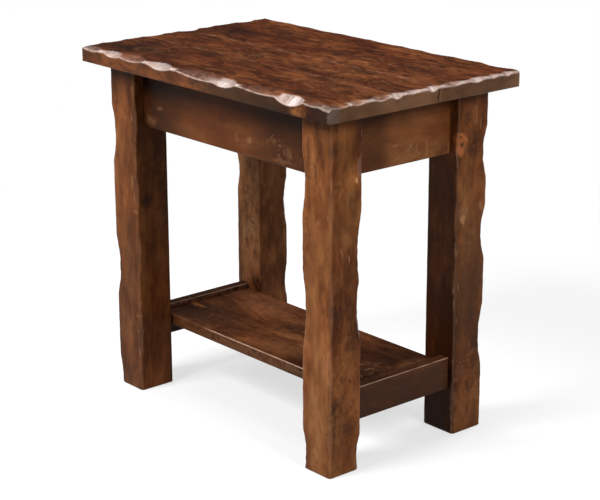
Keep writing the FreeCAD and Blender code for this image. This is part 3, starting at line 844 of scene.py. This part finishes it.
# Pale pinkish cut of steep facets: partly worn wood, partly painted highlight
steep_cut_and_highlight = (0.58, 0.435, 0.38)
check_brown = (0.085, 0.05, 0.036)
# Bright lower arris of the top: partly wear, partly painted highlight
worn_arris_highlight = (0.6, 0.45, 0.375)
light_seam = (0.36, 0.2, 0.13)
leg_facet = (0.34, 0.165, 0.085)
leg_nick = (0.44, 0.255, 0.15)

# Tints of the marks in the wood
pale = (0.34, 0.16, 0.075)
amber = (0.42, 0.15, 0.046)
dark = (0.028, 0.01, 0.0045)
brown = (0.2, 0.08, 0.03)
bright = (0.52, 0.245, 0.12)
dark_red = (0.042, 0.0125, 0.0034)
dull_brown = (0.085, 0.038, 0.019)
orange = (0.4, 0.115, 0.032)
# Grey painted sheen on the top's end by its front corner
grey_sheen = (0.15, 0.108, 0.092)

# Directions across and down a face, seen from outside. On an upper face, down means to the back.
right_face = ((0, 1, 0), (0, 0, -1))
front_face = ((1, 0, 0), (0, 0, -1))
upper_face = ((1, 0, 0), (0, 1, 0))

# Curls, rings and specks on the top's boards, counted from the slab's front left corner
top_marks = {
    "top_board_front": (
        ("ring", 110, 60, 30, 18, brown, 0.32, 10), ("ring", 112, 62, 14, 8, brown, 0.22, 10),
        ("curls", 517.5, 100, 120, 60, pale, 0.22),
    ),
    "top_board_mid_front": (
        ("curls", 497.5, 190, 140, 90, pale, 0.26), ("curls", 257.5, 170, 60, 40, pale, 0.24),
    ),
    "top_board_mid_back": (
        ("curls", 477.5, 260, 140, 80, pale, 0.24), ("specks", 97.5, 280, 80, 60, dark, 0.3),
    ),
}

# Marks on the top's sides: a grey corner of painted sheen, a crack where two boards meet and an orange patch
crack = (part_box("top_board_mid_front")[1].y - slab_low.y) * 1000
wall_marks = face_marks((slab_high.x, slab_low.y, slab_high.z), right_face, (
    ("patch", 7, 16, 15, 26, grey_sheen, 0.75, 6), ("stroke", crack, 13, 1.4, 18, dark, 0.85, 12),
    ("stroke", crack + 4, 12, 1, 10, pale, 0.5, 12)))
wall_marks += face_marks((slab_low.x, slab_low.y, slab_high.z), front_face, (
    ("patch", 562, 20, 18, 9, (0.28, 0.105, 0.031), 0.85, 20),))

# Marks on the aprons' outer faces, from the leg at their left end, and on the shelf, from the
# middle of its front edge
apron_front_marks = (
    ("patch", 46, 68, 9, 4, pale, 0.28), ("patch", 22, 90, 18, 10, pale, 0.25),
    ("patch", 250, 78, 6, 7, pale, 0.3), ("patch", 283, 77, 9, 5, pale, 0.5),
    ("curls", 350, 66, 34, 14, pale, 0.34), ("curls", 374, 90, 40, 14, pale, 0.4),
    ("patch", 366, 96, 30, 4, pale, 0.3), ("patch", 345, 66, 10, 4, pale, 0.22),
    ("patch", 380, 82, 6, 12, pale, 0.22),
)
apron_right_marks = (
    ("curls", 125, 85, 60, 16, pale, 0.7), ("stroke", 85, 72, 6, 3, pale, 0.5),
    ("patch", 130, 96, 24, 4, pale, 0.3), ("patch", 190, 96, 18, 10, dark, 0.6),
)
# On the shelf the dark patches at the front left and on the right beside the front right leg are painted
# shade, and the two warm brown patches at the back left are painted light
shelf_marks = (
    ("patch", -170, 50, 110, 60, dark, 0.85), ("patch", -25, 110, 65, 26, dark, 0.85),
    ("patch", 35, 34, 60, 32, brown, 0.42), ("patch", -175, 172, 105, 44, (0.2, 0.08, 0.038), 0.38),
    ("stroke", -236, 68, 28, 6, amber, 0.45), ("patch", -130, 140, 60, 30, (0.17, 0.062, 0.026), 0.6),
    ("patch", 195, 60, 80, 60, dark, 0.65), ("patch", 245, 150, 26, 40, brown, 0.6),
    ("curls", 215, 60, 60, 60, pale, 0.32),
)

# Curls, knots and dark places of each leg
leg_right_marks = {
    "leg_back_right": (
        ("patch", 18, 44, 12, 16, dark, 0.6), ("stroke", 37, 42, 3, 16, pale, 0.35),
        ("patch", 34, 90, 15, 24, dark, 0.8), ("patch", 33, 310, 40, 170, dull_brown, 0.6, 12),
        ("stroke", 7, 79, 10, 11, orange, 0.9, 13), ("stroke", 4, 94, 8, 10, orange, 0.9, 13),
        ("ring", 6, 85, 10, 16, (0.55, 0.19, 0.065), 0.35, 13), ("stroke", 9, 87, 4.5, 3.5, dark, 0.8),
        ("patch", 3, 76, 4, 4, dark, 0.6), ("patch", 14, 200, 11, 8, pale, 0.45),
        ("stroke", 13, 210, 6, 8, bright, 0.6), ("stroke", 53, 196, 4, 7, pale, 0.5, 14),
        ("stroke", 0, 266, 3, 7, pale, 0.45, 4), ("patch", 50, 430, 12, 30, dark, 0.6),
        ("patch", 14, 474, 12, 14, pale, 0.2), ("stroke", 32, 508, 4, 18, dark, 0.45),
        ("stroke", 44, 500, 3, 15, dark, 0.4), ("stroke", 6, 520, 3, 16, pale, 0.25),
        ("curls", 30, 490, 34, 70, pale, 0.4), ("curls", 34, 50, 26, 30, pale, 0.2),
        ("stroke", 50, 60, 2, 12, pale, 0.4),
    ),
    "leg_front_right": (
        ("patch", 13, 50, 14, 14, dark, 0.55), ("patch", 46, 100, 15, 20, amber, 0.75),
        ("stroke", 55, 108, 3.5, 6, (0.7, 0.36, 0.165), 0.8), ("patch", 48, 140, 14, 22, dark, 0.5),
        ("patch", 21, 118, 15, 36, amber, 0.45), ("patch", 30, 175, 18, 13, dark, 0.35),
        ("patch", 7, 480, 10, 80, dark, 0.55), ("patch", 20, 436, 13, 22, amber, 0.4),
        ("stroke", 24, 214, 2.2, 10, pale, 0.5), ("stroke", 37, 227, 1.8, 8, bright, 0.5),
        ("patch", 14, 262, 13, 15, brown, 0.5), ("patch", 12, 306, 16, 17, dark, 0.55),
        ("stroke", 34, 353, 2.4, 10, pale, 0.35), ("patch", 56, 357, 12, 22, dark, 0.55),
        ("patch", 33, 400, 18, 26, (0.28, 0.105, 0.032), 0.6), ("stroke", 43, 429, 2.5, 8, dark, 0.75),
        ("patch", 12, 465, 12, 18, dark, 0.65), ("patch", 39, 503, 20, 15, dark, 0.6),
        ("curls", 34, 430, 36, 110, amber, 0.24), ("specks", 34, 460, 36, 90, dark_red, 0.45),
        ("curls", 24, 270, 26, 70, amber, 0.14),
    ),
    "leg_front_left": (
        # The long dark patch toward the back of this inner face is painted shade
        ("patch", 21, 235, 14, 15, dark, 0.85, 20), ("patch", 58, 170, 26, 130, dark, 0.6),
        ("stroke", 38, 260, 9, 1.2, pale, 0.3),
    ),
}
leg_front_marks = {
    "leg_front_right": (
        ("patch", 11, 165, 9, 70, amber, 0.48), ("patch", 54, 287, 6, 16, amber, 0.35),
        ("specks", 26, 85, 20, 60, dark, 0.45), ("stroke", 18, 60, 3, 26, dark, 0.45),
        ("stroke", 28, 72, 3, 22, pale, 0.4), ("stroke", 36, 90, 2, 24, dark, 0.4),
        ("stroke", 39, 166, 2.5, 7, pale, 0.4),
    ),
    "leg_front_left": (
        ("stroke", 64.5, 253, 6, 2, pale, 0.5), ("stroke", 62.5, 444, 8, 1.6, pale, 0.45),
        ("stroke", 55.5, 200, 3, 12, pale, 0.4), ("patch", 62.5, 126, 4, 30, dark, 0.55),
        ("stroke", 53.5, 42, 2, 18, dark, 0.55), ("patch", 61.5, 345, 5, 40, dark, 0.45),
        ("patch", 67.5, 110, 4, 85, amber, 0.5, 4), ("stroke", 61.5, 535, 1.2, 22, pale, 0.3),
    ),
    "leg_back_left": (
        ("patch", 36, 210, 10, 30, dark, 0.5), ("patch", 6, 370, 10, 100, dark, 0.65),
        ("patch", 57, 446, 15, 18, dark, 0.85), ("patch", 30, 360, 8, 40, dark, 0.45),
        ("patch", 50, 300, 6, 30, amber, 0.4), ("patch", 44, 390, 14, 16, amber, 0.35),
        ("curls", 40, 300, 26, 140, amber, 0.55), ("specks", 40, 320, 30, 140, dark, 0.5),
    ),
}


def dress_top():
    """The four hewn boards with their own run of grain."""
    corner = (slab_low.x, slab_low.y, slab_high.z)
    for number, node in enumerate(top_boards):
        low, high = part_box(node)
        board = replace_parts(hewn_board(node), node)
        heart = (0, low.y + (0.3 + 0.15 * number) * (high.y - low.y), slab_low.z - 0.03)
        board.data.materials.append(stained_wood(
            "stain_" + node, 0, top_palette, (3.1 * number, 1.7 * number, 5.3 * number), heart,
            lift=-0.03, grain_length=21, grain_width=52, curl=1.5, patches=0.9, blotches=0.8,
            layers=0.22, fibres=0.5, flecks=0.7, lights=0.8, edges=top_edges,
            marks=face_marks(corner, upper_face, top_marks.get(node, ()), 20)))
        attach(board, "root")


def dress_legs():
    """The four hewn legs with their grain upright."""
    for number, (node, (side_x, side_y, blotches)) in enumerate(legs.items()):
        low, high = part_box(node)
        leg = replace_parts(hewn_leg(node), node)
        heart = ((low.x + high.x) / 2 - side_x * 0.04, (low.y + high.y) / 2 - side_y * 0.03, 0)
        marks = face_marks((high.x, low.y, high.z), right_face, leg_right_marks.get(node, ()))
        marks += face_marks((low.x, low.y, high.z), front_face, leg_front_marks.get(node, ()))
        leg.data.materials.append(stained_wood(
            "stain_" + node, 2, leg_palette, (2.3 * number, 4.1 * number, 0.9 * number), heart,
            patches=0.9, blotches=blotches, layers=0.45, fibres=0.6, flecks=0.35,
            marks=marks, edges=leg_edges))
        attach(leg, "root")


def paint(node, material):
    """Gives a CAD node its finish."""
    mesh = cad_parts[node].data
    mesh.materials.clear()
    mesh.materials.append(material)


def dress_aprons():
    """The four aprons: CAD nodes with their grain lengthwise."""
    low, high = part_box("apron_front")
    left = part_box("leg_front_left")[1].x
    paint("apron_front", stained_wood(
        "stain_apron_front", 0, apron_palette, (1.3, 0.4, 2.2), (0, low.y + 0.05, high.z - 0.02),
        lights=0.2, marks=face_marks((left, low.y, high.z), front_face, apron_front_marks),
        # Painted shade: darker under the top's overhang and at both ends beside the legs
        painted_shades=((2, high.z - 0.085, high.z - 0.025, 0.66), (0, left + 0.17, left + 0.02, 0.9),
                 (0, -left - 0.18, -left - 0.06, 0.66))))
    low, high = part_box("apron_right")
    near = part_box("leg_front_right")[1].y
    paint("apron_right", stained_wood(
        "stain_apron_right", 1, apron_palette, (0.7, 3.4, 1.9), (high.x - 0.05, 0, high.z - 0.03),
        lift=0.15, blotches=0.35, layers=0.25, flecks=0.2, lights=0.4,
        marks=face_marks((high.x, near, high.z), right_face, apron_right_marks),
        # Painted shade: darker beside the front right leg and just under the top
        painted_shades=((1, near + 0.085, near + 0.05, 0.66), (2, high.z - 0.03, high.z - 0.012, 0.35))))
    for node, axis, offset, heart in (
            ("apron_back", 0, (6.3, 2.4, 1.2), (0, 0.1, high.z - 0.03)),
            ("apron_left", 1, (4.7, 1.4, 6.9), (0, 0, high.z - 0.03))):
        paint(node, stained_wood(
            "stain_" + node, axis, apron_palette, offset, heart,
            patches=0.6, blotches=0.4, layers=0.5, fibres=0.6, flecks=0.3))


def dress_shelf():
    """Stretchers and shelf: CAD nodes with upper arrises lightened partly as wear and partly as painted
    highlight.
    """
    for number, node in enumerate(("stretcher_left", "stretcher_right")):
        low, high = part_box(node)
        # Painted light: a warm band along the top of the left stretcher's inner face lifts its shade
        lip = (("patch", 0, 5, 170, 6, (0.2, 0.085, 0.048), 0.85, 2),) if node == "stretcher_left" else ()
        paint(node, stained_wood(
            "stain_" + node, 1, stretcher_palette, (5.1 + 2 * number, 0.6, 3.3), (low.x - 0.03, 0, low.z),
            # Painted shade: darker below the upper edge
            lift=-0.16 + 0.14 * number, layers=0.12, painted_shades=((2, high.z - 0.003, high.z - 0.012, 0.3),),
            marks=face_marks((high.x, 0, high.z), right_face, lip),
            arrises=(((0, high.x - 0.0018, high.x - 0.0007), (2, high.z - 0.0018, high.z - 0.0007),
                      (low.y, low.y + 0.02), 0.8),)))
    low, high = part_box("shelf_board")
    front_patch = (("patch", 20, 9.5, 260, 14, (0.155, 0.064, 0.026), 0.8, 2.2),)
    paint("shelf_board", stained_wood(
        "stain_shelf", 0, shelf_palette, (8.1, 2.6, 0.3), (0, 0.02, low.z - 0.03),
        lift=-0.04, grain_length=18, curl=1.5, patches=0.85, blotches=0.6, layers=0.2, fibres=0.5,
        # Painted shade: darker over the right part, beside the right legs
        flecks=0.5, lights=0.7, painted_shades=((0, 0.05, 0.15, 0.76),),
        marks=(face_marks((0, low.y, high.z), front_face, front_patch)
               + face_marks((0, low.y, high.z), upper_face, shelf_marks, 20)),
        arrises=(((1, low.y + 0.0019, low.y + 0.0008), (2, high.z - 0.0019, high.z - 0.0008),
                  (-0.138, -0.095), 0.85),)))


def dress_hidden():
    """Blocks, buttons, dowels and screws."""
    bare = bare_wood("bare_wood")
    for node in ("corner_blocks", "top_buttons", "shelf_dowels"):
        paint(node, bare)
    steel = screw_steel("screw_steel")
    for node in ("corner_block_screws", "top_button_screws"):
        paint(node, steel)


# Floor, light and camera

floor_reach = 60.0
lamp_target = (0, 0, 0.35)


def floor_finish():
    """Pale floor. Seen directly or in a reflection it is white, with the table's shadow near it,
    and from below it lets the view through."""
    finish = Finish("floor_white", 0.0)
    tree = finish.tree
    finish.set(base_color=(0.36, 0.36, 0.36), roughness=0.9)
    plain = Value(finish, finish.shader.outputs[0])
    matt = finish.node("BsdfDiffuse", {"Color": (0.46, 0.46, 0.46)})
    glow = finish.node("Emission", {"Color": (1.0, 1.0, 1.0), "Strength": 0.6})
    lifted = finish.node("AddShader", {0: matt, 1: glow})
    far = finish.length(finish.place).rising(0.7, 1.6)
    white = finish.node("Emission", {"Color": (1.0, 1.0, 1.0), "Strength": 1.0})
    lifted = finish.node("MixShader", {0: far, 1: lifted, 2: white})
    seen = 0.0
    for ray in ("Camera", "Glossy", "Transmission"):
        seen = seen + finish.node("LightPath", output="Is " + ray + " Ray")
    above = finish.node("MixShader", {0: seen, 1: plain, 2: lifted})
    clear = finish.node("BsdfTransparent")
    behind = finish.node("NewGeometry", output="Backfacing")
    whole = finish.node("MixShader", {0: behind, 1: above, 2: clear})
    tree.links.new(whole.socket, tree.nodes["Material Output"].inputs["Surface"])
    return finish.material


def studio_floor():
    """Wide flat floor under the feet."""
    reach = floor_reach
    mesh = bpy.data.meshes.new("floor")
    corners = [(-reach, -reach, 0), (reach, -reach, 0), (reach, reach, 0), (-reach, reach, 0)]
    mesh.from_pydata(corners, [], [(0, 1, 2, 3)])
    mesh.materials.append(floor_finish())
    floor = bpy.data.objects.new("floor", mesh)
    bpy.context.scene.collection.objects.link(floor)


def stand(thing, place, target, roll=0.0):
    """Adds a lamp or camera at a place, turned to look at a point and rolled about that line."""
    bpy.context.scene.collection.objects.link(thing)
    place, target = np.array(place, float), np.array(target, float)
    back = unit(place - target)
    right = unit(np.cross((0, 0, 1), back))
    up = np.cross(back, right)
    matrix = np.eye(4)
    matrix[:3, 0] = right * math.cos(roll) + up * math.sin(roll)
    matrix[:3, 1] = -right * math.sin(roll) + up * math.cos(roll)
    matrix[:3, 2] = back
    matrix[:3, 3] = place
    thing.matrix_world = matrix.T.tolist()


def studio_light():
    """High key light from the front, a weaker one from the right and a broad panel over the left
    side that the hewn edge mirrors."""
    for name, place, width, height, power in (
            ("key_front", (-0.35, -2.3, 2.35), 1.3, 1.0, 92), ("side_right", (2.6, -0.1, 2.0), 1.1, 1.0, 46),
            ("panel_left", (-2.3, -0.1, 2.35), 1.0, 1.4, 32), ("panel_back", (0.1, 2.0, 2.9), 1.4, 0.9, 24)):
        lamp = bpy.data.lights.new(name, "AREA")
        lamp.shape = "RECTANGLE"
        lamp.size, lamp.size_y = width, height
        lamp.energy = power
        stand(bpy.data.objects.new(name, lamp), place, lamp_target)
    world = bpy.data.worlds.new("studio")
    world.use_nodes = True
    tree = world.node_tree
    soft, white = tree.nodes["Background"], tree.nodes.new("ShaderNodeBackground")
    for light, strength in ((soft, 0.07), (white, 1.0)):
        light.inputs["Color"].default_value = (1, 1, 1, 1)
        light.inputs["Strength"].default_value = strength
    path = tree.nodes.new("ShaderNodeLightPath")
    mix = tree.nodes.new("ShaderNodeMixShader")
    tree.links.new(path.outputs["Is Camera Ray"], mix.inputs[0])
    tree.links.new(soft.outputs[0], mix.inputs[1])
    tree.links.new(white.outputs[0], mix.inputs[2])
    tree.links.new(mix.outputs[0], tree.nodes["World Output"].inputs["Surface"])
    bpy.context.scene.world = world


# The camera's stand, fitted together with the sizes to the table's outline in the photograph
camera_azimuth = 49.306
camera_elevation = 17.335
camera_roll = -0.174
camera_distance = 3.0133
camera_target = (0.0293, -0.0116, 0.287)
camera_lens = 107.478
camera_sensor = 36.0


def camera():
    """Camera at the photograph's viewing angle."""
    azimuth, elevation = math.radians(camera_azimuth), math.radians(camera_elevation)
    back = np.array([
        math.sin(azimuth) * math.cos(elevation), -math.cos(azimuth) * math.cos(elevation),
        math.sin(elevation)])
    data = bpy.data.cameras.new("camera")
    data.lens, data.sensor_width = camera_lens, camera_sensor
    data.clip_start, data.clip_end = 0.05, 200
    thing = bpy.data.objects.new("camera", data)
    place = np.array(camera_target) + back * camera_distance
    stand(thing, place, camera_target, math.radians(camera_roll))
    bpy.context.scene.camera = thing


dress_top()
dress_legs()
dress_aprons()
dress_shelf()
dress_hidden()
studio_floor()
studio_light()
camera()
bpy.context.scene.view_settings.view_transform = "Standard"

bpy.context.view_layer.update()
